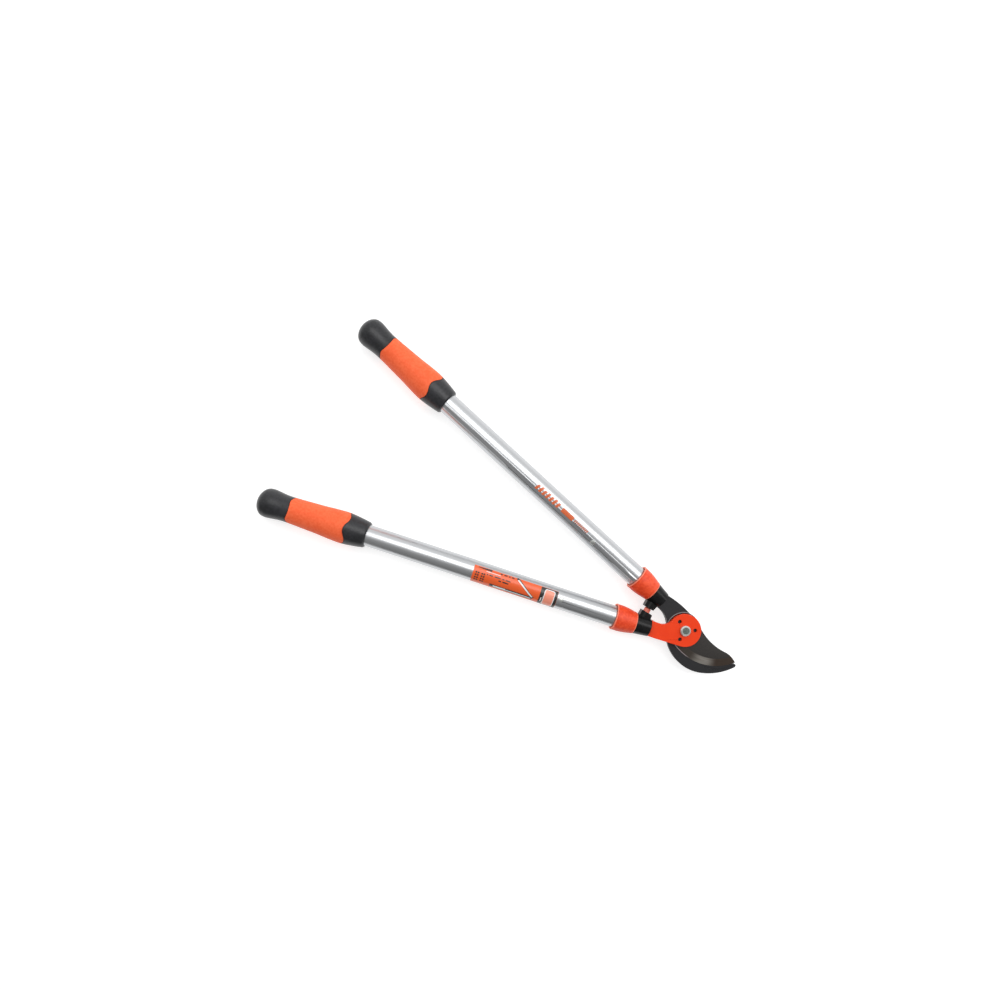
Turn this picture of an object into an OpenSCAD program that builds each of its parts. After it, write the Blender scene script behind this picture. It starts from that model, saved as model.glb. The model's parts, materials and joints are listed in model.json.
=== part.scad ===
// Bypass loppers with tubular handles, closed, lying flat.
// The pivot axis is the Z axis and its rear end is at z = 0. The jaws point along +X, the
// handles run back along -X, one to each side, and +Z is the side that carries the cutting blade.

/* [Handles] */
// angle between each handle and the centre line when closed
handle_angle = 12.2; // [11:0.1:14]
// outside diameter of the handle tubes
tube_d = 32; // [30:0.5:33]
// wall thickness of the handle tubes
tube_wall = 1.5; // [1:0.1:2.5]
// distance along the upper handle from the pivot to the butt of its grip
upper_len = 654; // [560:1:720]
// distance along the lower handle from the pivot to the butt of its grip
lower_len = 658; // [560:1:720]
// sideways offset of the upper tube's axis from the pivot
upper_offset = 10.5; // [9.5:0.1:11]
// sideways offset of the lower tube's axis from the pivot
lower_offset = 13.9; // [13.5:0.1:14.5]

/* [Grips] */
// length of each grip
grip_len = 170; // [165:1:185]
// distance from the butt to the soft sleeve's rear border
sleeve_rear = 50.5; // [48:0.5:55]
// distance from the butt to the soft sleeve's front border
sleeve_front = 139.5; // [135:0.5:144]
// height of the waves in the sleeve's front border
front_wave = 2.6; // [1:0.1:4]
// height of the waves in the sleeve's rear border
rear_wave = 1.1; // [0.6:0.1:2]
// width of the groove between the sleeve's borders and the hard grip
seam_w = 0.7; // [0.3:0.1:1]

/* [Ferrules and collars] */
// distance along the upper handle from the pivot to its collar's front end
upper_collar_front = 51.5; // [50:0.5:53]
// distance along the lower handle from the pivot to its collar's front end
lower_collar_front = 49; // [48:0.5:51]
// distance along a handle from the pivot to the joint of collar and ferrule
ferrule_front = 71.5; // [69:0.5:73]
// distance along a handle from the pivot to the ferrule's mouth
ferrule_mouth = 104; // [101:0.5:110]
// largest diameter of a ferrule
ferrule_d = 39.4; // [39:0.1:42]
// diameter of the rubber bumper
bumper_d = 9.6; // [8:0.1:10]
// clear gap between the closed bumper and the opposite stop
bumper_gap = 0.3; // [0.2:0.05:1]

/* [Jaws] */
// thickness of the hook
hook_t = 7; // [5.5:0.1:7]
// thickness of the cutting blade
blade_t = 3.85; // [3:0.05:3.85]
// width of the blade's ground bevel
bevel_w = 14.2; // [8:0.1:15]
// thickness of the red arm's plate
arm_t = 5; // [4:0.1:5.5]
// radius of the red arm's disc
disc_r = 24; // [22.5:0.1:24.4]
// gap between the blade and the hook
shear_gap = 0.15; // [0.1:0.01:0.3]
// depth of the sap groove in the hook
groove_depth = 0.6; // [0.3:0.1:1.2]

/* [Pivot] */
// diameter of the pivot bolt
bolt_d = 10; // [8:0.1:10.5]
// diameter of the pivot bolt's head
bolt_head_d = 15.2; // [14.5:0.1:17]
// width across the flats of the lock nut
nut_af = 17; // [16:0.1:18]
// diameter of the pins that lock the blade to the red arm
pin_d = 5.5; // [4.5:0.1:6]
// distance of those pins from the pivot
pin_pitch_r = 15; // [14.5:0.1:16]

/* [Label] */
// distance along the lower handle from the pivot to the label
label_start = 194; // [192:1:200]
// length of the label
label_len = 129; // [100:1:140]
// angle that the label wraps around the tube
label_wrap = 170; // [120:1:200]

/* [Fits] */
// radial clearance of pushed-on and running fits
fit = 0.05; // [0.02:0.01:0.1]

/* [Hidden] */
UPPER = 1;
LOWER = -1;

// colours
orange = "#f9734b";
signal_red = "#ea471e";
soft_black = "#424347";
steel_black = "#2e2d2e";
steel_ground = "#68645f";
zinc = "#b9bdb8";
bare_aluminium = "#c9cbcd";
rubber_pink = "#e8776a";
nylon_blue = "#2f6fb0";

// heights, from the rear end of the pivot bolt
tube_r = tube_d / 2;
bore_r = tube_r - tube_wall;
axis_z = 15.5;
hook_top = axis_z + 1;
hook_bottom = hook_top - hook_t;
blade_bottom = hook_top + shear_gap;
blade_top = blade_bottom + blade_t;
arm_bottom = axis_z + 5;
arm_top = arm_bottom + arm_t;
hook_arm_top = axis_z + 4.7;

// tangs: the flat bars that run from the jaws into the tubes
tang_w = 20;
tang_t = 10;
tang_end = 200;
rivet_at = 188;
rivet_d = 5;
rivet_head_d = 7.6;
rivet_head_t = 1.1;
// angle of each rivet from the vertical, towards the other handle
upper_rivet_turn = 28;
lower_rivet_turn = 4;

// tubes
tube_front = 76;
cap_t = 18;
plug_front = tube_front + 2;
plug_rear = tang_end + 4;

// grips: [distance from the butt, diameter] behind the rounded butt
butt_len = 15;
butt_d = 43.4;
grip_stations = [[21, 43.7], [40, 39.3], [59, 39.7], [78, 41.5], [98, 43.4], [117, 46.3], [136, 47.5],
                 [155, 43.4], [168, 39.2]];
grip_rim_d = 37.4;
grip_rim_chamfer = 0.8;
curve_steps = 4;
sleeve_floor_r = tube_r + 1.8;
wave_count = 4;
wave_r = 22.2;
upper_wave_turn = 10;
lower_wave_turn = -2;

// ferrules: [distance behind the joint as a share of the length, diameter less the largest]
ferrule_len = ferrule_mouth - ferrule_front;
ferrule_stations = [[0, -7.9], [0.17, -5.8], [0.36, -3.3], [0.56, -1.5], [0.75, -0.7], [0.9, -0.9],
                    [0.955, 0]];
lip_d = ferrule_d - 0.4;
ferrule_room_r = 17.6;
mouth_chamfer = 1.6;
collar_front_r = 12.8;
collar_rear_r = 15.4;

// stops on the collars: blocks with a rounded back that carries the stop's face
stop_half_t = 5.4;
boss_r = 6.6;
boss_len = 13;
upper_stop_y = 1.2;
lower_stop_y = -5.4;
stop_x = -60.2;
bumper_socket = 8;
bumper_dome = 1.6;
upper_stop_plan = [[-68.4, upper_stop_y], [-53.6, upper_stop_y], [-51.5, 9.6], [-50, 22], [-69, 25]];
lower_stop_plan = [[-68, lower_stop_y], [-51.6, lower_stop_y], [-50.6, -11.4], [-48.4, -14.6], [-48, -24],
                   [-68, -28]];

// jaws
hub_r = 25;
recess_r = 25.2;
blade_hub_r = 22;
// the blade's cutting edge and back are circular arcs
edge_c = [31.3, 43.9];
edge_r = 76.5;
edge_land = 0.3;
back_c = [63.7, 83.05];
back_r = 81.15;
// the hook's outside is two arcs that meet tangentially at join_angle
heel_c = [32.5, 10.3];
heel_r = 57.6;
nose_r = 86.6;
join_angle = -68.4;
nose_c = heel_c - (nose_r - heel_r) * [cos(join_angle), sin(join_angle)];
bite_c = [47.1, 42.65];
bite_r = 64.7;
groove_c = [49.1, 14.9];
groove_r = 46.2;
groove_w = 1.8;
groove_from_x = 52;
groove_top_y = -4;
// the forged arm between the hook and the upper collar
arm_back_c = [-47.6, -111.9];
arm_back_r = 143.7;
arm_eye_c = [-52.4, -25.5];
arm_eye_r = 34.5;
// how far the arm lies to each side of the upper tube's axis
arm_reach = 20;

// red arm: its widths to each side of the lower tube's axis, where the collar ends
arm_inner_w = 12.1;
arm_outer_w = 11.2;
// surfaces that would only touch overlap by this much, so that they join in a clean edge
bite_in = 0.08;
arm_fillet = 17;
joggle_start = 37;
shoulder_start = 43.5;
shoulder_end = 45;
joggle_slope = 3.9;
// the bar's underside at the collar, below the tube's axis
joggle_drop = 5.4;

// pivot stack
bolt_head_t = 4.5;
bolt_chamfer = 1.3;
bolt_point = 0.8;
bolt_dimple_d = 10;
bolt_dimple_depth = 0.5;
washer_t = 1.4;
washer_d = 21;
washer_top = hook_bottom - 0.1;
nut_top = washer_top - washer_t;
nut_bottom = 1;
nut_insert_t = 2;
nut_insert_r = 6.3;
nut_collar_wall = 1.2;
nut_collar_h = 2.8;
insert_bottom = nut_bottom + 0.4;
pin_bottom = blade_bottom + 0.1;
pin_top = arm_top - 3.4;
pin_angle = 30.5;

label_t = 0.15;
label_lift = 0.02;
// angle at which the label starts, from the top of the tube towards the other handle
label_edge_turn = 40;

round_fn = 96;
// longer than any part of the object, for half-planes and through holes
far = 300;

// ---- frames and shared shapes ----

// x runs from the pivot along a handle and y towards the other handle, from the handle's axis
module along_handle(side) {
    offset_out = side == UPPER ? upper_offset : lower_offset;
    mirror([0, side == UPPER ? 0 : 1, 0]) rotate(180 - handle_angle) translate([0, -offset_out]) children();
}

function handle_len(side) = side == UPPER ? upper_len : lower_len;
function collar_front(side) = side == UPPER ? upper_collar_front : lower_collar_front;

// the same, with z = 0 at the height of the tube's axis
module on_handle(side) {
    translate([0, 0, axis_z]) along_handle(side) children();
}

// a solid of revolution about x, from [radius, x] points
module turned(profile) {
    rotate([0, 90, 0]) rotate_extrude($fn = round_fn) polygon(profile);
}

module rod(r, from, to) {
    translate([from, 0, 0]) rotate([0, 90, 0]) cylinder(r = r, h = to - from, $fn = round_fn);
}

module plate(bottom, top) {
    translate([0, 0, bottom]) linear_extrude(top - bottom) children();
}

module disc_2d(centre, r) {
    translate(centre) circle(r = r, $fn = round_fn * 2);
}

module bolt_hole() {
    translate([0, 0, -far / 2]) cylinder(d = bolt_d + 2 * fit, h = far, $fn = round_fn);
}

function curve_point(a, b, c, d, t) =
    0.5 * (2 * b + (c - a) * t + (2 * a - 5 * b + 4 * c - d) * t * t + (3 * b - a - 3 * c + d) * t * t * t);

// a smooth curve through the points
function smooth(p) = let (last = len(p) - 1) [
    for (i = [0 : last - 1], k = [0 : curve_steps - 1])
        curve_point(p[max(i - 1, 0)], p[i], p[i + 1], p[min(i + 2, last)], k / curve_steps),
    p[last]];

// ---- tangs, tubes and their rivets ----

module tang(from, clearance = 0) {
    translate([from, -tang_w / 2 - clearance, -tang_t / 2 - clearance])
        cube([tang_end - from, tang_w + 2 * clearance, tang_t + 2 * clearance]);
}

module rivet_hole(turn) {
    translate([rivet_at, 0, 0]) rotate([-turn, 0, 0])
        cylinder(d = rivet_d + 2 * fit, h = 2 * tube_d, center = true, $fn = round_fn);
}

module tang_rivet(side, turn) {
    shank_r = rivet_d / 2;
    head_r = rivet_head_d / 2;
    // one end: half the shank and its domed head
    half = concat([[shank_r, 0], [shank_r, tube_r]],
                  [for (a = [0 : 15 : 90]) [head_r * cos(a), tube_r + rivet_head_t * sin(a)]]);
    other_half = [for (i = [len(half) - 1 : -1 : 1]) [half[i][0], -half[i][1]]];
    color(zinc) on_handle(side) translate([rivet_at, 0, 0]) rotate([-turn, 0, 0])
        rotate_extrude($fn = round_fn) polygon(concat(half, other_half));
}

module handle_tube(side, turn) {
    color(bare_aluminium) on_handle(side) difference() {
        rod(tube_r, tube_front, handle_len(side) - cap_t);
        rod(bore_r, tube_front - 1, handle_len(side));
        rivet_hole(turn);
    }
}

module tang_plug(side, turn) {
    color(soft_black) on_handle(side) difference() {
        rod(bore_r - fit, plug_front, plug_rear);
        tang(plug_front - 1, fit);
        rivet_hole(turn);
    }
}

// ---- ferrules ----

module ferrule(side) {
    outline = [for (p = smooth(ferrule_stations))
                   [(ferrule_d + p[1]) / 2, ferrule_front + p[0] * ferrule_len]];
    color(signal_red) on_handle(side) difference() {
        turned(concat([[0, ferrule_front]], outline, [[lip_d / 2, ferrule_mouth], [0, ferrule_mouth]]));
        rod(tube_r + fit, tube_front - fit, ferrule_mouth + 1);
        // the mouth opens out to a thin lip
        turned([[0, ferrule_mouth - mouth_chamfer * 2], [tube_r, ferrule_mouth - mouth_chamfer * 2],
                [tube_r + mouth_chamfer, ferrule_mouth + fit], [0, ferrule_mouth + fit]]);
        tang(ferrule_front - 1, fit);
    }
}

// ---- collars with their stops ----

module stop_block(plan, face_y) {
    translate([0, 0, axis_z - stop_half_t]) linear_extrude(2 * stop_half_t) polygon(plan);
    // a round boss carries the stop's face
    translate([stop_x, face_y, axis_z]) rotate([face_y > 0 ? -90 : 90, 0, 0])
        cylinder(r = boss_r, h = boss_len, $fn = round_fn);
}

module bumper_collar(side, plan, face_y) {
    color(soft_black) difference() {
        union() {
            on_handle(side) turned([[0, collar_front(side)], [collar_front_r, collar_front(side)],
                                    [collar_rear_r, ferrule_front - fit], [0, ferrule_front - fit]]);
            stop_block(plan, face_y);
        }
        on_handle(side) {
            // room for the ferrule behind the stop
            rod(ferrule_room_r, ferrule_front - fit, ferrule_mouth);
            tang(collar_front(side) - 1, fit);
        }
    }
}

module bumper_hole() {
    translate([stop_x, lower_stop_y - bumper_socket, axis_z]) rotate([-90, 0, 0])
        cylinder(d = bumper_d + 2 * fit, h = bumper_socket + 1, $fn = round_fn);
}

// ---- grips ----

function grip_profile(len) =
    let (butt = [for (a = [0 : 10 : 80]) [butt_d / 2 * sin(a), len - butt_len * (1 - cos(a))]],
         body = [for (p = smooth(concat([[butt_len, butt_d]], grip_stations))) [p[1] / 2, len - p[0]]],
         rim = len - grip_len)
    concat(butt, body, [[grip_rim_d / 2, rim + grip_rim_chamfer], [grip_rim_d / 2 - grip_rim_chamfer, rim],
                        [0, rim]]);

// round lobes across the border at x, which turn it into a wave; they point away from the sleeve
module lobes(x, height, direction, turn) {
    chord = PI * wave_r / wave_count;
    lobe_r = (chord * chord / 4 + height * height) / (2 * height);
    for (i = [0 : wave_count - 1]) rotate([i * 360 / wave_count + turn, 0, 0])
        translate([x - direction * (lobe_r - height), 0, sleeve_floor_r / 2])
            cylinder(r = lobe_r, h = 2 * tube_r, $fn = round_fn);
}

// a thick ring whose two borders wave: the sleeve's pocket, or the sleeve itself, which is shorter
module sleeve_space(side, turn, inset = 0) {
    rear = handle_len(side) - sleeve_rear - inset;
    front = handle_len(side) - sleeve_front + inset;
    lobe_turn = turn + 180 / wave_count;
    difference() {
        union() {
            rod(tube_d, front, rear);
            lobes(front, front_wave, -1, lobe_turn);
            lobes(rear, rear_wave, 1, lobe_turn);
        }
        lobes(front, front_wave, 1, turn);
        lobes(rear, rear_wave, -1, turn);
        rod(sleeve_floor_r, front - 2 * tube_d, rear + 2 * tube_d);
    }
}

module grip_core(side, turn) {
    len = handle_len(side);
    color(soft_black) on_handle(side) difference() {
        turned(grip_profile(len));
        sleeve_space(side, turn);
        rod(tube_r + fit, len - grip_len - 1, len - cap_t + fit);
    }
}

module grip_sleeve(side, turn) {
    color(orange) on_handle(side) intersection() {
        turned(grip_profile(handle_len(side)));
        sleeve_space(side, turn, seam_w);
    }
}

// ---- hook ----

// the half-plane on one side of the line through the two outer arcs' centres
module beside_join(side) {
    translate(nose_c) rotate(join_angle) translate([0, side > 0 ? 0 : -far]) square([far, far]);
}

module hook_plan() {
    difference() {
        intersection() {
            union() {
                intersection() {
                    disc_2d(heel_c, heel_r);
                    beside_join(-1);
                }
                intersection() {
                    disc_2d(nose_c, nose_r);
                    beside_join(1);
                }
            }
            // the blunt nose and the region that the crescent fills
            polygon([[-22, -8], [-14, -22], [-14, -60], [100, -60], [94.8, -9.3], [94.1, -5.9], [86, -8.4],
                     [70, 10], [0, 10]]);
        }
        disc_2d(bite_c, bite_r);
    }
    disc_2d([0, 0], hub_r);
}

module hook_arm_plan() {
    intersection() {
        difference() {
            disc_2d(arm_back_c, arm_back_r);
            disc_2d(arm_eye_c, arm_eye_r);
        }
        // the part of the ring between the hub and the collar
        along_handle(UPPER) translate([0, -arm_reach]) square([upper_collar_front - fit, 2 * arm_reach]);
    }
}

module sap_groove() {
    plate(hook_top - groove_depth, hook_top + 1) intersection() {
        difference() {
            disc_2d(groove_c, groove_r + groove_w);
            disc_2d(groove_c, groove_r);
        }
        translate([groove_from_x, -far]) square([far, far + groove_top_y]);
    }
}

module hook_jaw() {
    color(steel_black) difference() {
        union() {
            plate(hook_bottom, hook_top) hook_plan();
            plate(hook_bottom, hook_top) hook_arm_plan();
            plate(hook_top, hook_arm_top) difference() {
                hook_arm_plan();
                disc_2d([0, 0], recess_r);
            }
            on_handle(UPPER) tang(upper_collar_front - 1);
        }
        sap_groove();
        bolt_hole();
        on_handle(UPPER) rivet_hole(upper_rivet_turn);
    }
}

// ---- cutting blade ----

module blade_plan() {
    difference() {
        intersection() {
            disc_2d(edge_c, edge_r);
            polygon([[-3, -20], [-3, -36], [100, -36], [91.4, -3.8], [87.4, -1.6], [82.2, 0.5], [76.2, 2],
                     [69.4, 2.6], [69.4, 20], [14, 20], [0, 12]]);
        }
        disc_2d(back_c, back_r);
    }
}

module cutting_blade() {
    color(steel_ground) difference() {
        union() {
            intersection() {
                plate(blade_bottom, blade_top) blade_plan();
                // the bevel is a cone about the centre of the cutting edge's arc
                translate([edge_c[0], edge_c[1], blade_bottom]) rotate_extrude($fn = round_fn * 2)
                    polygon([[0, 0], [edge_r, 0], [edge_r, edge_land], [edge_r - bevel_w, blade_t],
                             [0, blade_t]]);
            }
            plate(blade_bottom, blade_top) disc_2d([0, 0], blade_hub_r);
        }
        bolt_hole();
        pin_holes(pin_d + 2 * fit);
    }
}

module pin_holes(d) {
    for (i = [0 : 2]) rotate(pin_angle + i * 120) translate([pin_pitch_r, 0, 0])
        cylinder(d = d, h = far, $fn = round_fn / 2);
}

module blade_pins() {
    color(steel_black) for (i = [0 : 2]) rotate(pin_angle + i * 120)
        translate([pin_pitch_r, 0, pin_bottom])
            cylinder(d = pin_d, h = pin_top - pin_bottom, $fn = round_fn / 2);
}

// ---- red arm ----

// plan of the rounded corner between bar and disc, along and across the lower handle
module arm_fillet_plan() {
    centre_y = arm_inner_w + arm_fillet;
    centre_x = sqrt(pow(disc_r + arm_fillet, 2) - pow(centre_y - lower_offset, 2));
    difference() {
        polygon([[0, lower_offset], [centre_x, centre_y], [centre_x, arm_inner_w - 1], [0, arm_inner_w - 1]]);
        disc_2d([centre_x, centre_y], arm_fillet + bite_in);
    }
}

module arm_plan() {
    end = lower_collar_front - fit;
    disc_2d([0, 0], disc_r);
    along_handle(LOWER) {
        polygon([[0, lower_offset - disc_r + bite_in], [end, -arm_outer_w], [end, arm_inner_w],
                 [0, arm_inner_w]]);
        arm_fillet_plan();
    }
}

// a cutter across the lower arm, from its outline in side view
module across_arm(outline) {
    on_handle(LOWER) translate([0, far, 0]) rotate([90, 0, 0]) linear_extrude(2 * far) polygon(outline);
}

module blade_arm() {
    plate_under = arm_bottom - axis_z;
    plate_over = arm_top - axis_z;
    color(signal_red) difference() {
        union() {
            plate(axis_z - joggle_drop, arm_top) arm_plan();
            on_handle(LOWER) tang(lower_collar_front - 1);
        }
        // the bar steps down from the disc's level to the tube's axis in front of the collar
        across_arm([[-far, -far], [shoulder_end, -far], [shoulder_end, -joggle_drop - 1],
                    [shoulder_start, plate_under], [-far, plate_under]]);
        across_arm([[joggle_start, plate_over], [lower_collar_front + 1, plate_over - joggle_slope],
                    [lower_collar_front + 1, plate_over + 1], [joggle_start, plate_over + 1]]);
        bolt_hole();
        pin_holes(pin_d + 2 * fit);
        on_handle(LOWER) rivet_hole(lower_rivet_turn);
    }
}

// ---- pivot ----

module pivot_bolt() {
    shank_r = bolt_d / 2;
    head_r = bolt_head_d / 2;
    dimple_r = bolt_dimple_d / 2;
    top = arm_top + bolt_head_t;
    color(zinc) rotate_extrude($fn = round_fn)
        polygon([[0, 0], [shank_r - bolt_point, 0], [shank_r, bolt_point], [shank_r, arm_top],
                 [head_r, arm_top], [head_r, top - bolt_chamfer], [head_r - bolt_chamfer, top],
                 [dimple_r, top], [dimple_r - bolt_dimple_depth, top - bolt_dimple_depth],
                 [0, top - bolt_dimple_depth]]);
}

module pivot_washer() {
    color(zinc) translate([0, 0, nut_top]) difference() {
        cylinder(d = washer_d, h = washer_t, $fn = round_fn);
        bolt_hole();
    }
}

module lock_nut() {
    flat_r = nut_af / 2;
    hex_bottom = nut_bottom + nut_collar_h;
    color(zinc) difference() {
        union() {
            // the hexagon, whose lower corners are chamfered
            intersection() {
                plate(hex_bottom, nut_top) circle(r = flat_r / cos(30), $fn = 6);
                translate([0, 0, hex_bottom])
                    cylinder(r1 = flat_r, r2 = flat_r + far, h = far, $fn = round_fn);
            }
            plate(nut_bottom, nut_top) disc_2d([0, 0], nut_insert_r + nut_collar_wall);
        }
        bolt_hole();
        plate(insert_bottom, insert_bottom + nut_insert_t + fit) disc_2d([0, 0], nut_insert_r + fit);
    }
}

module nut_insert() {
    color(nylon_blue) difference() {
        plate(insert_bottom, insert_bottom + nut_insert_t) disc_2d([0, 0], nut_insert_r);
        bolt_hole();
    }
}

// ---- parts of the two handles ----

module upper_tube() handle_tube(UPPER, upper_rivet_turn);
module upper_ferrule() ferrule(UPPER);
module upper_bumper_collar() bumper_collar(UPPER, upper_stop_plan, upper_stop_y);
module upper_tang_plug() tang_plug(UPPER, upper_rivet_turn);
module upper_tang_rivet() tang_rivet(UPPER, upper_rivet_turn);
module upper_grip_core() grip_core(UPPER, upper_wave_turn);
module upper_grip_sleeve() grip_sleeve(UPPER, upper_wave_turn);

module lower_tube() handle_tube(LOWER, lower_rivet_turn);
module lower_ferrule() ferrule(LOWER);

module lower_bumper_collar() {
    color(soft_black) difference() {
        bumper_collar(LOWER, lower_stop_plan, lower_stop_y);
        bumper_hole();
    }
}

module lower_tang_plug() tang_plug(LOWER, lower_rivet_turn);
module lower_tang_rivet() tang_rivet(LOWER, lower_rivet_turn);
module lower_grip_core() grip_core(LOWER, lower_wave_turn);
module lower_grip_sleeve() grip_sleeve(LOWER, lower_wave_turn);

module rubber_bumper() {
    r = bumper_d / 2;
    reach = upper_stop_y - bumper_gap - lower_stop_y;
    color(rubber_pink) translate([stop_x, lower_stop_y, axis_z]) rotate([-90, 0, 0])
        rotate_extrude($fn = round_fn)
            polygon(concat([[0, -bumper_socket + fit], [r, -bumper_socket + fit]],
                           [for (a = [0 : 15 : 90])
                               [r - bumper_dome * (1 - cos(a)), reach - bumper_dome * (1 - sin(a))]],
                           [[0, reach]]));
}

module tube_label() {
    inside = tube_r + label_lift;
    color(orange) on_handle(LOWER) rotate([-label_edge_turn, 0, 0]) rotate([0, 90, 0])
        rotate([0, 0, 180]) rotate_extrude(angle = label_wrap, $fn = round_fn)
            translate([inside, label_start]) square([label_t, label_len]);
}

hook_jaw();
upper_tube();
upper_ferrule();
upper_bumper_collar();
upper_tang_plug();
upper_tang_rivet();
upper_grip_core();
upper_grip_sleeve();
blade_arm();
cutting_blade();
blade_pins();
pivot_bolt();
pivot_washer();
lock_nut();
nut_insert();
lower_tube();
lower_ferrule();
lower_bumper_collar();
rubber_bumper();
lower_tang_plug();
lower_tang_rivet();
lower_grip_core();
lower_grip_sleeve();
tube_label();
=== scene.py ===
"""Bypass loppers: looks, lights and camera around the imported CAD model.

Lengths are in metres in the frame of the CAD model: the pivot is the Z axis, the jaws point along +X
and the handles run back along -X. MM turns millimetres into metres.
"""

import json
import math

import bmesh
import bpy
import numpy as np
from mathutils import Matrix, Vector

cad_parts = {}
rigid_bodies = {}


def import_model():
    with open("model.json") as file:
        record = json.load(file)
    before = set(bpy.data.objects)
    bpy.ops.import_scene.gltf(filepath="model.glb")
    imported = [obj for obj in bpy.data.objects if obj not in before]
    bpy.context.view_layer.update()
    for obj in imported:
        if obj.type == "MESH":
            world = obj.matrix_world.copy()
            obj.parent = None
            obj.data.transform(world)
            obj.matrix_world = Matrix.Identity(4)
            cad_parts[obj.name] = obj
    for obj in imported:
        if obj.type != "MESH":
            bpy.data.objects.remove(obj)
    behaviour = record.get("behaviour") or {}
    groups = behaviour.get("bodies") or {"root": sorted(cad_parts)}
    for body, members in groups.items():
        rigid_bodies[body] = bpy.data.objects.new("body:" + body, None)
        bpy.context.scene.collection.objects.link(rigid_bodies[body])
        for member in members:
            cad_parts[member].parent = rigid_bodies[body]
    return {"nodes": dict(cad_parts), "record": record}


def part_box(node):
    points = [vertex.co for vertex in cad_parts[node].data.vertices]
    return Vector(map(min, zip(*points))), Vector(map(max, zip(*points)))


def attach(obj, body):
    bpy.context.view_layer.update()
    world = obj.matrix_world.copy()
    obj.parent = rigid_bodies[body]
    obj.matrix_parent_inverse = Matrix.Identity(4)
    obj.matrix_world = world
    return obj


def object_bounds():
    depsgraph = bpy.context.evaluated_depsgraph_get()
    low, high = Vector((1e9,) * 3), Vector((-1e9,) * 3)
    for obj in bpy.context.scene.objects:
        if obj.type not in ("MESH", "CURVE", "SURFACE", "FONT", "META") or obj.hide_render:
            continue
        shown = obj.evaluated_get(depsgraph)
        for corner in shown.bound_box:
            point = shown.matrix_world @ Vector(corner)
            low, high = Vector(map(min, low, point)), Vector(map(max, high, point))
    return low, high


# the start-up cube, lamp and camera are not wanted
for leftover in list(bpy.data.objects):
    bpy.data.objects.remove(leftover)
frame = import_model()
cad_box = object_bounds()

MM = 0.001
NODES = frame["nodes"]
UP = Vector((0, 0, 1))

# the cutting blade's edge is an arc about this centre, and its bevel is a ring inside that arc
EDGE_CENTRE = Vector((31.3, 43.9, 0)) * MM
EDGE_R = 76.5 * MM
BEVEL_R = 62.3 * MM
# the hook's arm is cut back around the pivot to this radius, and its top is at this height
RECESS_R = 25.2 * MM
HOOK_ARM_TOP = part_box("hook_jaw")[1].z
# both ferrules, counted along their handles from the pivot
FERRULE_FRONT = 71.5 * MM
FERRULE_MOUTH = 104 * MM
# the round recess in the bolt's head
BOLT_RECESS_R = 5 * MM


# ---- handles ----


class Handle:
    """A handle's own coordinates, from its tube: s along it from the pivot, arc around it.

    other_side is the sign of y on the side where the other handle lies.
    """

    def __init__(self, tube, other_side):
        points = np.array([vertex.co for vertex in NODES[tube].data.vertices])
        low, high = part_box(tube)
        self.height = (low.z + high.z) / 2
        self.radius = (high.z - low.z) / 2
        # the rims of the tube's two ends give its axis
        ends = [points[np.abs(points[:, 0] - x) < 2 * self.radius, :2] for x in (low.x, high.x)]
        rear, front = (Vector((*(end.min(0) + end.max(0)) / 2, 0)) for end in ends)
        self.along = (rear - front).normalized()
        self.inward = Vector((-self.along.y, self.along.x, 0)) * -other_side
        self.foot = self.inward * front.dot(self.inward) + UP * self.height

    def at(self, s_mm, arc_mm, lift_mm=0.0):
        """A point on the tube: arc is measured from its top, towards the other handle."""
        angle = arc_mm * MM / self.radius
        out = self.inward * math.sin(angle) + UP * math.cos(angle)
        return self.foot + self.along * (s_mm * MM) + out * (self.radius + lift_mm * MM)


UPPER = Handle("upper_tube", -1)
LOWER = Handle("lower_tube", 1)


# ---- materials ----


def linear(level):
    """The linear level of an sRGB level, both from 0 to 1."""
    return ((level + 0.055) / 1.055) ** 2.4 if level > 0.04045 else level / 12.92


def srgb(red, green, blue):
    """The linear colour, with alpha, of an sRGB colour given in 0 to 255."""
    return tuple(linear(level / 255) for level in (red, green, blue)) + (1.0,)


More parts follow.
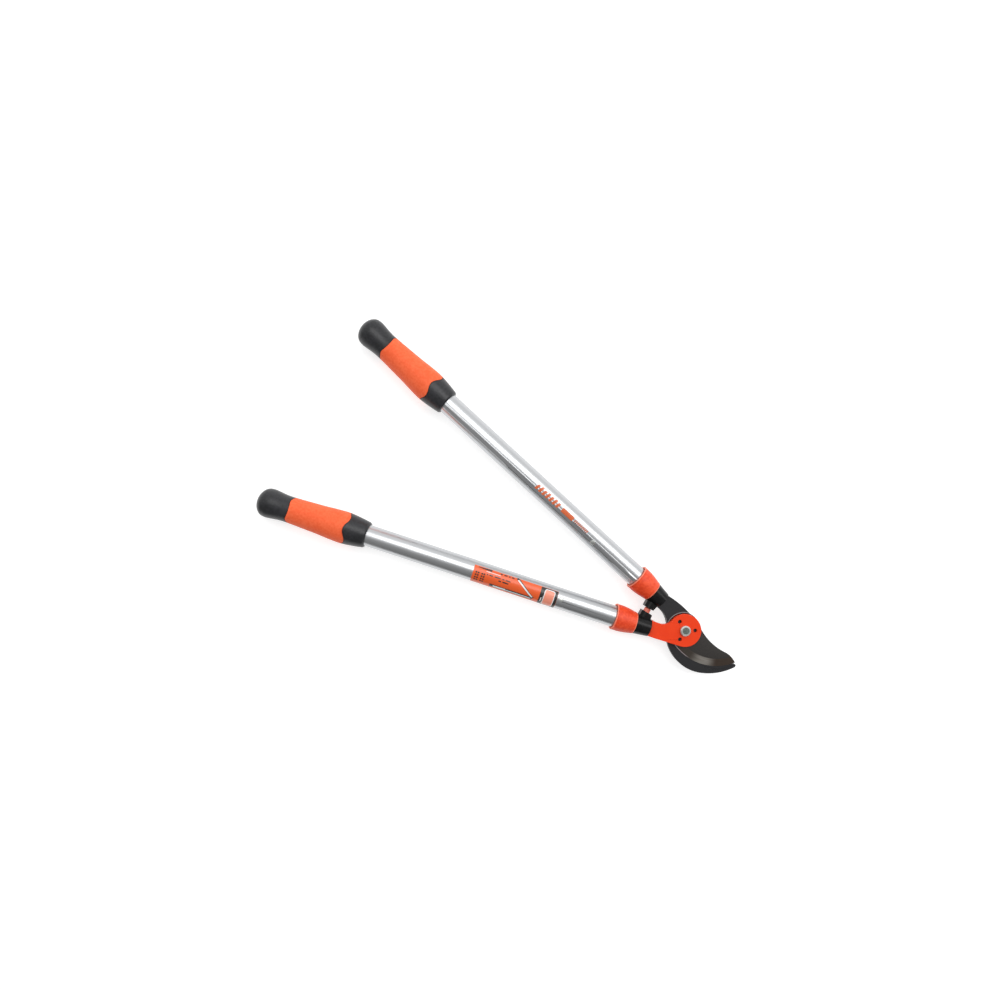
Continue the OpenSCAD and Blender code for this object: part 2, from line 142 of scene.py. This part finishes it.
class Paint:
    """A material under construction: a Principled shader, and short calls that add nodes to it."""

    def __init__(self, name, **sockets):
        self.material = bpy.data.materials.new(name)
        self.material.use_nodes = True
        self.tree = self.material.node_tree
        self.tree.nodes.clear()
        output = self.node("ShaderNodeOutputMaterial")
        self.shader = self.node("ShaderNodeBsdfPrincipled")
        self.link(self.shader.outputs[0], output.inputs[0])
        for socket, value in sockets.items():
            self.shader.inputs[socket.replace("_", " ")].default_value = value
        self.coords = self.node("ShaderNodeTexCoord").outputs["Object"]

    def node(self, kind, **settings):
        made = self.tree.nodes.new(kind)
        for key, value in settings.items():
            setattr(made, key, value)
        return made

    def link(self, a, b):
        self.tree.links.new(a, b)

    def put(self, socket, value):
        """Links a node's output to an input, or sets the input's value."""
        if isinstance(value, bpy.types.NodeSocket):
            self.link(value, socket)
        else:
            socket.default_value = value

    def math(self, operation, a, b=0.0):
        made = self.node("ShaderNodeMath", operation=operation)
        self.put(made.inputs[0], a)
        self.put(made.inputs[1], b)
        return made.outputs[0]

    def range(self, value, low, high, to_low=0.0, to_high=1.0):
        """A soft step: to_low where value is at low, and to_high where it is at high."""
        made = self.node("ShaderNodeMapRange", interpolation_type="SMOOTHSTEP")
        for socket, amount in zip(made.inputs, (value, low, high, to_low, to_high)):
            self.put(socket, amount)
        return made.outputs[0]

    def mix(self, factor, a, b):
        """The colour a turning into the colour b as factor goes from 0 to 1."""
        made = self.node("ShaderNodeMix", data_type="RGBA")
        self.put(made.inputs[0], factor)
        # a colour mix takes its two colours in sockets 6 and 7
        self.put(made.inputs[6], a)
        self.put(made.inputs[7], b)
        return made.outputs[2]

    def split(self, vector):
        """The x, y and z of a vector."""
        made = self.node("ShaderNodeSeparateXYZ")
        self.link(vector, made.inputs[0])
        return made.outputs

    def length(self, x, y):
        """The length of the vector with these two components."""
        squares = self.math("ADD", self.math("MULTIPLY", x, x), self.math("MULTIPLY", y, y))
        return self.math("SQRT", squares)

    def turned(self, handle, stretch):
        """Coordinates along and around a handle, scaled along its axis by stretch."""
        angle = math.atan2(handle.along.y, handle.along.x)
        made = self.node("ShaderNodeMapping", vector_type="POINT")
        made.inputs["Location"].default_value = -(Matrix.Rotation(-angle, 3, "Z") @ handle.foot)
        made.inputs["Rotation"].default_value = (0, 0, -angle)
        self.link(self.coords, made.inputs["Vector"])
        scaled = self.node("ShaderNodeVectorMath", operation="MULTIPLY")
        self.link(made.outputs[0], scaled.inputs[0])
        scaled.inputs[1].default_value = (stretch, 1, 1)
        return scaled.outputs[0]

    def noise(self, per_mm, detail=2.0, rough=0.5, coords=None):
        """A noise with about per_mm lumps to the millimetre."""
        made = self.node("ShaderNodeTexNoise")
        self.link(coords or self.coords, made.inputs["Vector"])
        made.inputs["Scale"].default_value = per_mm / MM
        made.inputs["Detail"].default_value = detail
        made.inputs["Roughness"].default_value = rough
        return made.outputs["Fac"]

    def cells(self, per_mm):
        """The distance to the nearest of many scattered points, about per_mm of them to the millimetre."""
        made = self.node("ShaderNodeTexVoronoi")
        self.link(self.coords, made.inputs["Vector"])
        made.inputs["Scale"].default_value = per_mm / MM
        return made.outputs["Distance"]

    def bump(self, *layers):
        """Relief from (height, depth in mm) layers, finest last."""
        normal = None
        for height, depth in layers:
            made = self.node("ShaderNodeBump")
            made.inputs["Strength"].default_value = 1.0
            made.inputs["Distance"].default_value = depth * MM
            self.link(height, made.inputs["Height"])
            if normal:
                self.link(normal, made.inputs["Normal"])
            normal = made.outputs[0]
        self.link(normal, self.shader.inputs["Normal"])

    def colour(self, value):
        self.put(self.shader.inputs["Base Color"], value)

    def roughness(self, value):
        self.put(self.shader.inputs["Roughness"], value)


def tube_aluminium(name, handle):
    """Drawn and satin anodised: fine lines along the tube, faint clouds and a few scuffs."""
    paint = Paint(name, Metallic=1.0)
    lines = paint.noise(1.6, 3.0, 0.6, paint.turned(handle, 0.006))
    broad = paint.noise(0.25, 2.0, 0.5, paint.turned(handle, 0.02))
    clouds = paint.noise(0.03, 3.0, 0.6)
    scuffs = paint.range(paint.noise(0.5, 4.0, 0.7, paint.turned(handle, 0.3)), 0.68, 0.78)
    tone = paint.mix(lines, srgb(186, 188, 190), srgb(202, 203, 205))
    tone = paint.mix(paint.math("MULTIPLY", scuffs, 0.25), tone, srgb(160, 162, 164))
    paint.colour(tone)
    spread = paint.math("ADD", paint.math("MULTIPLY", lines, 0.10), paint.math("MULTIPLY", clouds, 0.10))
    paint.roughness(paint.math("ADD", spread, 0.2))
    paint.bump((broad, 0.012), (lines, 0.008))
    return paint.material


def black_steel():
    """Forged and coated steel: a scaly grain under a thin semi-matt black coat."""
    paint = Paint("black_steel", Metallic=0.35, Specular_IOR_Level=0.45)
    scale = paint.noise(0.35, 5.0, 0.65)
    grain = paint.noise(2.2, 3.0, 0.6)
    rubbed = paint.range(paint.noise(0.12, 4.0, 0.7), 0.6, 0.75)
    tone = paint.mix(scale, srgb(31, 32, 34), srgb(47, 46, 48))
    tone = paint.mix(paint.math("MULTIPLY", rubbed, 0.35), tone, srgb(72, 72, 74))
    # a painted highlight: a thin light rim on the hook's arm where it is cut back around the pivot
    x, y, z = paint.split(paint.coords)
    radius = paint.length(x, y)
    outside = paint.range(radius, RECESS_R - 0.2 * MM, RECESS_R)
    inside = paint.range(radius, RECESS_R + 1.3 * MM, RECESS_R + 0.9 * MM)
    near_top = paint.range(z, HOOK_ARM_TOP - 1.0 * MM, HOOK_ARM_TOP - 0.7 * MM)
    rim_highlight = paint.math("MULTIPLY", paint.math("MULTIPLY", outside, inside), near_top)
    paint.colour(paint.mix(paint.math("MULTIPLY", rim_highlight, 0.8), tone, srgb(150, 152, 152)))
    paint.roughness(paint.math("ADD", paint.math("MULTIPLY", grain, 0.22), 0.34))
    paint.bump((scale, 0.09), (grain, 0.03))
    return paint.material


def blade_steel():
    """A black-coated blade whose bevel is ground bare, with fine grinding lines along its edge."""
    paint = Paint("blade_steel", Specular_IOR_Level=0.5)
    offset = paint.node("ShaderNodeVectorMath", operation="SUBTRACT")
    paint.link(paint.coords, offset.inputs[0])
    offset.inputs[1].default_value = EDGE_CENTRE
    x, y = paint.split(offset.outputs[0])[:2]
    radius = paint.length(x, y)
    angle = paint.math("ARCTAN2", y, x)
    polar = paint.node("ShaderNodeCombineXYZ")
    paint.link(paint.math("MULTIPLY", angle, EDGE_R * 0.05), polar.inputs[0])
    paint.link(radius, polar.inputs[1])
    lines = paint.noise(1.2, 4.0, 0.65, polar.outputs[0])
    broad = paint.noise(0.3, 3.0, 0.6, polar.outputs[0])
    scale = paint.noise(0.4, 5.0, 0.65)
    grain = paint.noise(2.0, 3.0, 0.6)
    upright = paint.split(paint.node("ShaderNodeNewGeometry").outputs["Normal"])[2]
    sloping = paint.range(paint.math("ABSOLUTE", upright), 0.985, 0.975)
    frayed = paint.math("ADD", radius, paint.math("MULTIPLY", grain, 0.6 * MM))
    outer = paint.range(frayed, BEVEL_R, BEVEL_R + 0.7 * MM)
    bevel = paint.math("MULTIPLY", sloping, outer)
    coat = paint.mix(scale, srgb(38, 36, 35), srgb(62, 58, 55))
    flecks = paint.math("MULTIPLY", paint.range(grain, 0.58, 0.72), 0.5)
    coat = paint.mix(flecks, coat, srgb(92, 86, 82))
    # a painted reflection: the bare bevel is painted bright in the middle, darker towards disc and tip
    near_disc = paint.range(angle, math.radians(-78), math.radians(-94))
    near_tip = paint.range(angle, math.radians(-74), math.radians(-60))
    dark_ends = paint.math("MAXIMUM", near_disc, near_tip)
    ground = paint.mix(lines, srgb(112, 107, 101), srgb(186, 180, 172))
    blotches = paint.math("MULTIPLY", paint.range(broad, 0.4, 0.7), 0.4)
    ground = paint.mix(blotches, ground, srgb(92, 84, 76))
    dark_end_tone = paint.mix(near_tip, srgb(66, 60, 54), srgb(62, 48, 38))
    dark_end_tone = paint.mix(paint.math("MULTIPLY", lines, 0.5), dark_end_tone, srgb(96, 86, 78))
    ground = paint.mix(dark_ends, ground, dark_end_tone)
    # a painted highlight: a bright glint along the very edge, only next to the disc
    edge_glint = paint.range(radius, EDGE_R - 1.3 * MM, EDGE_R - 0.8 * MM)
    edge_glint = paint.math("MULTIPLY", edge_glint, paint.range(angle, math.radians(-90), math.radians(-99)))
    ground = paint.mix(paint.math("MULTIPLY", edge_glint, 0.7), ground, srgb(206, 190, 194))
    paint.colour(paint.mix(bevel, coat, ground))
    metallic = paint.math("ADD", paint.math("MULTIPLY", bevel, 0.3), 0.25)
    paint.put(paint.shader.inputs["Metallic"], metallic)
    rough = paint.math("ADD", paint.math("MULTIPLY", lines, 0.2), 0.34)
    paint.roughness(paint.math("ADD", rough, paint.math("MULTIPLY", grain, 0.12)))
    relief = paint.math("MULTIPLY", lines, bevel)
    paint.bump((scale, 0.05), (relief, 0.03), (grain, 0.03))
    return paint.material


def red_paint():
    """Powder coat: gloss with a fine orange peel and a few rubbed spots."""
    paint = Paint("red_paint", Specular_IOR_Level=0.3, Coat_Weight=0.12, Coat_Roughness=0.12)
    peel = paint.noise(0.9, 2.0, 0.5)
    clouds = paint.noise(0.05, 3.0, 0.6)
    specks = paint.range(paint.cells(0.45), 0.1, 0.05)
    tone = paint.mix(clouds, srgb(228, 52, 4), srgb(240, 66, 10))
    paint.colour(paint.mix(paint.math("MULTIPLY", specks, 0.25), tone, srgb(186, 40, 8)))
    paint.roughness(paint.math("ADD", paint.math("MULTIPLY", clouds, 0.16), 0.3))
    paint.bump((peel, 0.03))
    return paint.material


def moulded(name, dark, light, grain_per_mm, depth, gloss, mottle=0.0, rim_highlight_colour=None, **sockets):
    """A moulded plastic or rubber: a fine spark texture, soft clouds and blotches.

    depth and mottle are the depths of the texture and of the blotches, in mm. gloss is the roughness of
    the smoothest places, and the rim colour is that of a painted highlight along the ferrules' rims.
    """
    paint = Paint(name, **sockets)
    grain = paint.noise(grain_per_mm, 3.0, 0.6)
    pits = paint.cells(grain_per_mm * 0.6)
    clouds = paint.noise(0.04, 4.0, 0.65)
    blotches = paint.noise(0.3, 2.0, 0.5)
    shade = paint.math("ADD", paint.math("MULTIPLY", clouds, 0.5), paint.math("MULTIPLY", blotches, 0.5))
    tone = paint.mix(paint.range(shade, 0.38, 0.62), dark, light)
    tone = paint.mix(paint.math("MULTIPLY", paint.range(grain, 0.55, 0.75), 0.18), tone, light)
    if rim_highlight_colour:
        # a painted highlight: a lighter line along each ferrule's mouth and front end, patchy with the
        # grain
        # the handles mirror each other, so that one distance serves both
        x, y = paint.split(paint.coords)[:2]
        back = paint.math("MULTIPLY", x, UPPER.along.x)
        aside = paint.math("MULTIPLY", paint.math("ABSOLUTE", y), UPPER.along.y)
        along = paint.math("ADD", back, aside)
        at_mouth = paint.range(along, FERRULE_MOUTH - 1.7 * MM, FERRULE_MOUTH - 1.1 * MM)
        at_front = paint.range(along, FERRULE_FRONT + 1.5 * MM, FERRULE_FRONT + 0.9 * MM)
        rim_highlight = paint.math("MAXIMUM", at_mouth, at_front)
        highlight_patchiness = paint.range(grain, 0.3, 0.6, 0.45, 0.8)
        tone = paint.mix(paint.math("MULTIPLY", rim_highlight, highlight_patchiness), tone, rim_highlight_colour)
    paint.colour(tone)
    paint.roughness(paint.math("ADD", paint.math("MULTIPLY", clouds, 0.16), gloss))
    paint.bump((blotches, mottle), (pits, depth), (grain, depth * 0.6))
    return paint.material


def zinc():
    """Zinc plate: a satin metal with faint clouds, and a duller, mottled recess in the bolt's head."""
    paint = Paint("zinc", Metallic=1.0)
    x, y, z = paint.split(paint.coords)
    radius = paint.length(x, y)
    head_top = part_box("pivot_bolt")[1].z
    in_recess = paint.range(radius, BOLT_RECESS_R + 0.1 * MM, BOLT_RECESS_R - 0.2 * MM)
    on_head = paint.range(z, head_top - 1.5 * MM, head_top - 1.2 * MM)
    recess = paint.math("MULTIPLY", in_recess, on_head)
    clouds = paint.noise(0.5, 4.0, 0.6)
    mottle = paint.noise(1.1, 4.0, 0.7)
    plate = paint.mix(clouds, srgb(196, 199, 196), srgb(222, 224, 220))
    dull = paint.mix(paint.range(mottle, 0.35, 0.65), srgb(104, 118, 110), srgb(150, 160, 152))
    paint.colour(paint.mix(recess, plate, dull))
    paint.roughness(paint.math("ADD", paint.math("MULTIPLY", clouds, 0.2), 0.24))
    paint.bump((clouds, 0.01), (mottle, 0.02))
    return paint.material


def film(name, tone, light):
    """Printed gloss film, with the faint waviness of a label stuck on by hand."""
    paint = Paint(name, Coat_Weight=0.4, Coat_Roughness=0.1, Roughness=0.35)
    print_grain = paint.noise(3.0, 2.0, 0.5)
    waves = paint.noise(0.08, 2.0, 0.5)
    paint.colour(paint.mix(print_grain, tone, light))
    paint.roughness(paint.math("ADD", paint.math("MULTIPLY", waves, 0.15), 0.28))
    paint.bump((waves, 0.05), (print_grain, 0.004))
    return paint.material


MATERIALS = {
    "black_steel": black_steel(),
    "blade_steel": blade_steel(),
    "red_paint": red_paint(),
    # the red plastic's rim colour is a painted highlight on the ferrules' rims
    "red_plastic": moulded("red_plastic", srgb(222, 62, 22), srgb(240, 84, 42), rim_highlight_colour=srgb(250, 146, 118),
                           grain_per_mm=1.4, depth=0.05, gloss=0.38, mottle=0.2, Specular_IOR_Level=0.4),
    "black_plastic": moulded("black_plastic", srgb(13, 13, 14), srgb(22, 22, 23),
                             grain_per_mm=1.2, depth=0.03, gloss=0.14, Specular_IOR_Level=0.22),
    "grip_black": moulded("grip_black", srgb(30, 31, 33), srgb(44, 44, 48),
                          grain_per_mm=1.0, depth=0.04, gloss=0.28, mottle=0.1, Specular_IOR_Level=0.42),
    "grip_orange": moulded("grip_orange", srgb(246, 96, 48), srgb(253, 110, 64),
                           grain_per_mm=1.0, depth=0.05, gloss=0.55, Specular_IOR_Level=0.35),
    "zinc": zinc(),
    "bumper_rubber": moulded("bumper_rubber", srgb(188, 84, 66), srgb(214, 112, 92),
                             grain_per_mm=1.0, depth=0.03, gloss=0.25,
                             Subsurface_Weight=0.15, Subsurface_Scale=0.002),
    "nylon": moulded("nylon", srgb(38, 92, 150), srgb(52, 112, 172),
                     grain_per_mm=1.0, depth=0.02, gloss=0.4),
    "label_film": film("label_film", srgb(226, 84, 26), srgb(240, 98, 36)),
}
INK_BLACK = film("ink_black", srgb(28, 26, 24), srgb(40, 38, 36))
INK_WHITE = film("ink_white", srgb(228, 226, 226), srgb(242, 240, 240))
INK_SALMON = film("ink_salmon", srgb(236, 138, 112), srgb(244, 156, 130))
INK_ORANGE = film("ink_orange", srgb(206, 92, 48), srgb(224, 112, 62))


# ---- the CAD nodes ----


# vertices closer than this are joined
MERGE_DISTANCE = 0.002 * MM
# edges below the first angle are shaded smooth, and edges above the second are rounded
SMOOTH_BELOW = math.radians(24)
ROUND_ABOVE = math.radians(34)
# how far a node's sharp edges are rounded, in mm; the name leaves out upper_ and lower_
EDGE_ROUNDING = {
    "hook_jaw": 0.7,
    "blade_arm": 0.7,
    "cutting_blade": 0.12,
    "blade_pins": 0.3,
    "pivot_bolt": 0.25,
    "pivot_washer": 0.3,
    "lock_nut": 0.2,
    "nut_insert": 0.2,
    "tube": 0.2,
    "ferrule": 0.6,
    "bumper_collar": 0.9,
    "rubber_bumper": 0.2,
    "grip_core": 0.5,
    "grip_sleeve": 0.7,
}


def smooth_by_angle():
    """A node group that joins the faces' shared edges and shades them smooth below a limiting angle."""
    group = bpy.data.node_groups.new("smooth_by_angle", "GeometryNodeTree")
    group.interface.new_socket("Geometry", in_out="INPUT", socket_type="NodeSocketGeometry")
    group.interface.new_socket("Geometry", in_out="OUTPUT", socket_type="NodeSocketGeometry")
    nodes, links = group.nodes, group.links
    source = nodes.new("NodeGroupInput")
    merge = nodes.new("GeometryNodeMergeByDistance")
    merge.inputs["Distance"].default_value = MERGE_DISTANCE
    forget = nodes.new("GeometryNodeRemoveAttribute")
    forget.inputs["Name"].default_value = "custom_normal"
    faces = nodes.new("GeometryNodeSetShadeSmooth")
    edges = nodes.new("GeometryNodeSetShadeSmooth")
    edges.domain = "EDGE"
    angle = nodes.new("GeometryNodeInputMeshEdgeAngle")
    below = nodes.new("FunctionNodeCompare")
    below.operation = "LESS_THAN"
    below.inputs[1].default_value = SMOOTH_BELOW
    target = nodes.new("NodeGroupOutput")
    links.new(source.outputs[0], merge.inputs["Geometry"])
    links.new(merge.outputs[0], forget.inputs["Geometry"])
    links.new(forget.outputs[0], faces.inputs["Geometry"])
    links.new(faces.outputs[0], edges.inputs["Geometry"])
    links.new(angle.outputs["Unsigned Angle"], below.inputs[0])
    links.new(below.outputs[0], edges.inputs["Shade Smooth"])
    links.new(edges.outputs[0], target.inputs[0])
    return group


SMOOTH = smooth_by_angle()


def dress(node, material):
    """Gives a CAD node its material, its smooth shading and its rounded edges."""
    piece = NODES[node]
    for material_slot in piece.material_slots:
        material_slot.material = material
    shading = piece.modifiers.new("shading", "NODES")
    shading.node_group = SMOOTH
    kind = node.removeprefix("upper_").removeprefix("lower_")
    if kind in EDGE_ROUNDING:
        rounding = piece.modifiers.new("rounding", "BEVEL")
        rounding.width = EDGE_ROUNDING[kind] * MM
        rounding.segments = 3
        rounding.limit_method = "ANGLE"
        rounding.angle_limit = ROUND_ABOVE
        rounding.use_clamp_overlap = True
        rounding.harden_normals = True


SLOT_OF = {subpart["node"]: subpart["material_slot"] for subpart in frame["record"]["subparts"]}
# the drawn lines of each tube follow its own handle
TUBE_MATERIALS = {
    "upper_tube": tube_aluminium("upper_tube_aluminium", UPPER),
    "lower_tube": tube_aluminium("lower_tube_aluminium", LOWER),
}
for node_name in NODES:
    dress(node_name, TUBE_MATERIALS.get(node_name) or MATERIALS[SLOT_OF[node_name]])


# ---- printing on the tubes ----


# all sizes of the printing are in mm
INK_THICKNESS = 0.03
# how far the middle of the ink lies above the tube, on the bare tube and on the label
INK_LIFT = 0.03
LABEL_INK_LIFT = 0.2
# one ink printed over another lies this much higher
OVERPRINT = 0.07
# a facet spans about this much of arc, so that it stays off the tube
FACET = 1.2
# where the label starts, along the lower handle from the pivot
LABEL_START = 194


class Print:
    """A thin layer of one ink on a tube, made of shapes given as (s, arc) corners in mm."""

    def __init__(self, name, handle, lift_mm):
        self.name = name
        self.handle = handle
        self.lift = lift_mm
        self.mesh = bmesh.new()

    def grid(self, corners):
        """Fills the four corners, given in order, with a grid bent around the tube."""
        a, b, c, d = (Vector(corner) for corner in corners)
        arcs = [corner[1] for corner in corners]
        steps = max(2, math.ceil((max(arcs) - min(arcs)) / FACET))
        rows = []
        for i in range(steps + 1):
            u = i / steps
            start, end = a.lerp(d, u), b.lerp(c, u)
            row = []
            for j in range(steps + 1):
                s, arc = start.lerp(end, j / steps)
                row.append(self.mesh.verts.new(self.handle.at(s, arc, self.lift)))
            rows.append(row)
        for low, high in zip(rows, rows[1:]):
            for j in range(steps):
                self.mesh.faces.new((low[j], low[j + 1], high[j + 1], high[j]))

    def bar(self, s0, s1, arc0, arc1, slant=0.0):
        """A rectangle, or with a slant a parallelogram whose arc1 side is shifted along the tube."""
        self.grid(((s0, arc0), (s1, arc0), (s1 + slant, arc1), (s0 + slant, arc1)))

    def dashes(self, places, arc0, arc1, slant=0.0):
        """A row of bars, each given by its start and its length along the tube."""
        for s, length in places:
            self.bar(s, s + length, arc0, arc1, slant)

    def rounded(self, s0, s1, arc0, arc1, corner, steps=5):
        """A rectangle with round corners, as rows from arc0 to arc1."""
        turns = [math.radians(90 * k / steps) for k in range(steps + 1)]
        straight = arc1 - arc0 - 2 * corner
        count = math.ceil(straight / FACET)
        # each row's arc and how far its ends are set in
        rows = [(arc0 + corner * (1 - math.sin(t)), corner * (1 - math.cos(t))) for t in reversed(turns)]
        rows += [(arc0 + corner + straight * k / count, 0.0) for k in range(1, count)]
        rows += [(arc1 - corner * (1 - math.sin(t)), corner * (1 - math.cos(t))) for t in turns]
        pairs = []
        for arc, inset in rows:
            ends = (s0 + inset, s1 - inset)
            pairs.append([self.mesh.verts.new(self.handle.at(s, arc, self.lift)) for s in ends])
        for (a, b), (c, d) in zip(pairs, pairs[1:]):
            self.mesh.faces.new((a, b, d, c))

    def finish(self, ink, body):
        """Makes the layer a piece that moves with a CAD body."""
        bmesh.ops.recalc_face_normals(self.mesh, faces=self.mesh.faces)
        data = bpy.data.meshes.new(self.name)
        self.mesh.to_mesh(data)
        self.mesh.free()
        data.materials.append(ink)
        piece = bpy.data.objects.new(self.name, data)
        bpy.context.collection.objects.link(piece)
        thickness = piece.modifiers.new("thickness", "SOLIDIFY")
        thickness.thickness = INK_THICKNESS * MM
        thickness.offset = 0.0
        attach(piece, body)


def upper_tube_print():
    """A row of short ticks, a block and a row of slanted strokes, in orange."""
    ink = Print("upper_tube_print", UPPER, INK_LIFT)
    tick_pitch = 2.9
    ink.dashes([(204 + k * tick_pitch, 1.5) for k in range(9)], -0.5, 3.6, slant=0.8)
    ink.rounded(232, 254, -1.5, 5.5, corner=1.2)
    stroke_pitch = 6.7
    strokes = [(259 + k * stroke_pitch, 4.2) for k in range(7)]
    # every second stroke is a little longer
    ink.dashes(strokes[::2], -2.5, 6.0, slant=2.2)
    ink.dashes(strokes[1::2], -3.5, 6.0, slant=2.2)
    ink.finish(INK_ORANGE, "hook_side")


def label_print():
    """Generic bars, blocks and a slanted rod on the orange label, and its black end band."""
    black = Print("label_black_ink", LOWER, LABEL_INK_LIFT)
    # the end band
    black.bar(LABEL_START + 0.2, LABEL_START + 26, -26, 10.8)
    # a wedge, rows of dashes and two ladders of blocks where a label has its small print
    black.grid(((296, 7.8), (296, 11.0), (317, 9.6), (317, 8.8)))
    black.dashes(((262, 4), (268, 2.5), (272.5, 5), (280, 3)), 8.2, 10.0)
    black.dashes(((266, 7), (275, 3.5), (281, 9), (293, 5), (300, 2)), 1.6, 3.2, slant=0.6)
    black.dashes(((268, 9), (279, 4)), -2.4, -0.6, slant=0.6)
    for block_top in (2.4, -1.4, -5.2, -9.0):
        black.dashes([(s, 2.3) for s in (304.5, 307.8, 313.5, 316.8)], block_top - 2.4, block_top)
    # the rod and the bar below it, which get their white lines from the next ink
    black.grid(((226.6, -9.8), (229.4, -12.0), (259.0, 10.0), (256.0, 12.0)))
    black.bar(229, 294.5, -15.4, -9.8)
    black.finish(INK_BLACK, "blade_side")
    white = Print("label_white_ink", LOWER, LABEL_INK_LIFT + OVERPRINT)
    white.grid(((228.6, -9.0), (230.2, -10.6), (256.6, 8.0), (255.0, 9.4)))
    white.bar(231, 270, -13.6, -12.2)
    white.bar(270, 289, -14.2, -11.2)
    white.bar(282, 304, 6.0, 6.9, slant=0.5)
    # a panel and a dash on the end band
    white.rounded(198.2, 214.2, -18.5, 9.4, corner=3.4)
    white.bar(216.0, 217.4, -12, -5)
    white.finish(INK_WHITE, "blade_side")
    salmon = Print("label_salmon_ink", LOWER, LABEL_INK_LIFT + 2 * OVERPRINT)
    salmon.rounded(199.3, 213.1, -17.2, 8.1, corner=2.8)
    salmon.finish(INK_SALMON, "blade_side")


upper_tube_print()
label_print()


# ---- floor, lights and camera ----

# the camera hangs over the middle of the picture, turned about the vertical, this high above the
# handles' axes
CAMERA_AT = Vector((-341.4, 30.5, 0)) * MM
CAMERA_TURN = math.radians(30.41)
CAMERA_HEIGHT = 850 * MM
# what the picture's width covers at the height of the handles' axes
PICTURE_WIDTH = 1470.15 * MM
PICTURE_UP = Vector((-math.sin(CAMERA_TURN), math.cos(CAMERA_TURN), 0))
PICTURE_RIGHT = PICTURE_UP.cross(UP)
# the strip softbox: its size, its turn from the picture's right, and the way to its middle from the
# object's middle, along the picture's right, up the picture and straight up
STRIP_LENGTH = 3.0
STRIP_WIDTH = 1.0
STRIP_TURN = math.radians(-8)
STRIP_AT = (1.1, 0.52, 1.5)
STRIP_RADIANCE = 2.3
# the world's brightness from the bottom side of the picture, through the zenith, to its top side
WORLD_SHADE = ((0, 0.12), (0.12, 0.3), (0.4, 0.42), (0.66, 0.95), (1, 1.05))
FLOOR_SIZE = 12
# the gap between the floor and the object's lowest point
FLOOR_GAP = 0.3 * MM
FLOOR_SHADE = (0.5, 0.5, 0.5, 1)
FLOOR_GLOW = 0.7


def make_floor():
    """A pale floor with a glow of its own, so that only faint shadows are left."""
    bpy.ops.mesh.primitive_plane_add(size=FLOOR_SIZE)
    floor = bpy.context.object
    floor.name = "floor"
    floor.location.z = cad_box[0].z - FLOOR_GAP
    paper = Paint("floor_paper", Base_Color=FLOOR_SHADE, Roughness=0.9, Emission_Color=(1, 1, 1, 1),
                  Emission_Strength=FLOOR_GLOW)
    floor.data.materials.append(paper.material)


def make_world():
    """A soft studio: light on the softbox's side of the picture and darker on the other side."""
    world = bpy.data.worlds.new("studio")
    bpy.context.scene.world = world
    world.use_nodes = True
    tree = world.node_tree
    background = tree.nodes["Background"]
    direction = tree.nodes.new("ShaderNodeTexCoord")
    across = tree.nodes.new("ShaderNodeVectorMath")
    across.operation = "DOT_PRODUCT"
    across.inputs[1].default_value = PICTURE_UP
    shade = tree.nodes.new("ShaderNodeValToRGB")
    shade.color_ramp.interpolation = "EASE"
    # turns -1 to 1 across the picture into 0 to 1 along the colour ramp
    shift = tree.nodes.new("ShaderNodeMath")
    shift.operation = "MULTIPLY_ADD"
    shift.inputs[1].default_value = 0.5
    shift.inputs[2].default_value = 0.5
    stops = shade.color_ramp.elements
    stops.remove(stops[1])
    for place, level in WORLD_SHADE:
        stop = stops[0] if place == 0 else stops.new(place)
        stop.color = (level, level, level, 1)
    tree.links.new(direction.outputs["Generated"], across.inputs[0])
    tree.links.new(across.outputs["Value"], shift.inputs[0])
    tree.links.new(shift.outputs[0], shade.inputs[0])
    tree.links.new(shade.outputs[0], background.inputs["Color"])
    background.inputs["Strength"].default_value = 1.0


def make_lights():
    """A long strip softbox, hung flat above the object and nearly along the picture's width."""
    light = bpy.data.lights.new("strip_softbox", "AREA")
    light.shape = "RECTANGLE"
    light.size = STRIP_LENGTH
    light.size_y = STRIP_WIDTH
    light.energy = STRIP_RADIANCE * math.pi * STRIP_LENGTH * STRIP_WIDTH
    lamp = bpy.data.objects.new("strip_softbox", light)
    middle = (cad_box[0] + cad_box[1]) / 2
    lamp.location = middle + PICTURE_RIGHT * STRIP_AT[0] + PICTURE_UP * STRIP_AT[1] + UP * STRIP_AT[2]
    lamp.rotation_euler = (0, 0, CAMERA_TURN + STRIP_TURN)
    bpy.context.collection.objects.link(lamp)


def make_camera():
    """The photograph's camera, which looks straight down."""
    data = bpy.data.cameras.new("camera")
    data.lens = data.sensor_width * CAMERA_HEIGHT / PICTURE_WIDTH
    camera = bpy.data.objects.new("camera", data)
    camera.location = CAMERA_AT + UP * (UPPER.height + CAMERA_HEIGHT)
    camera.rotation_euler = (0, 0, CAMERA_TURN)
    bpy.context.collection.objects.link(camera)
    bpy.context.scene.camera = camera


make_floor()
make_world()
make_lights()
make_camera()
bpy.context.scene.view_settings.view_transform = "Standard"
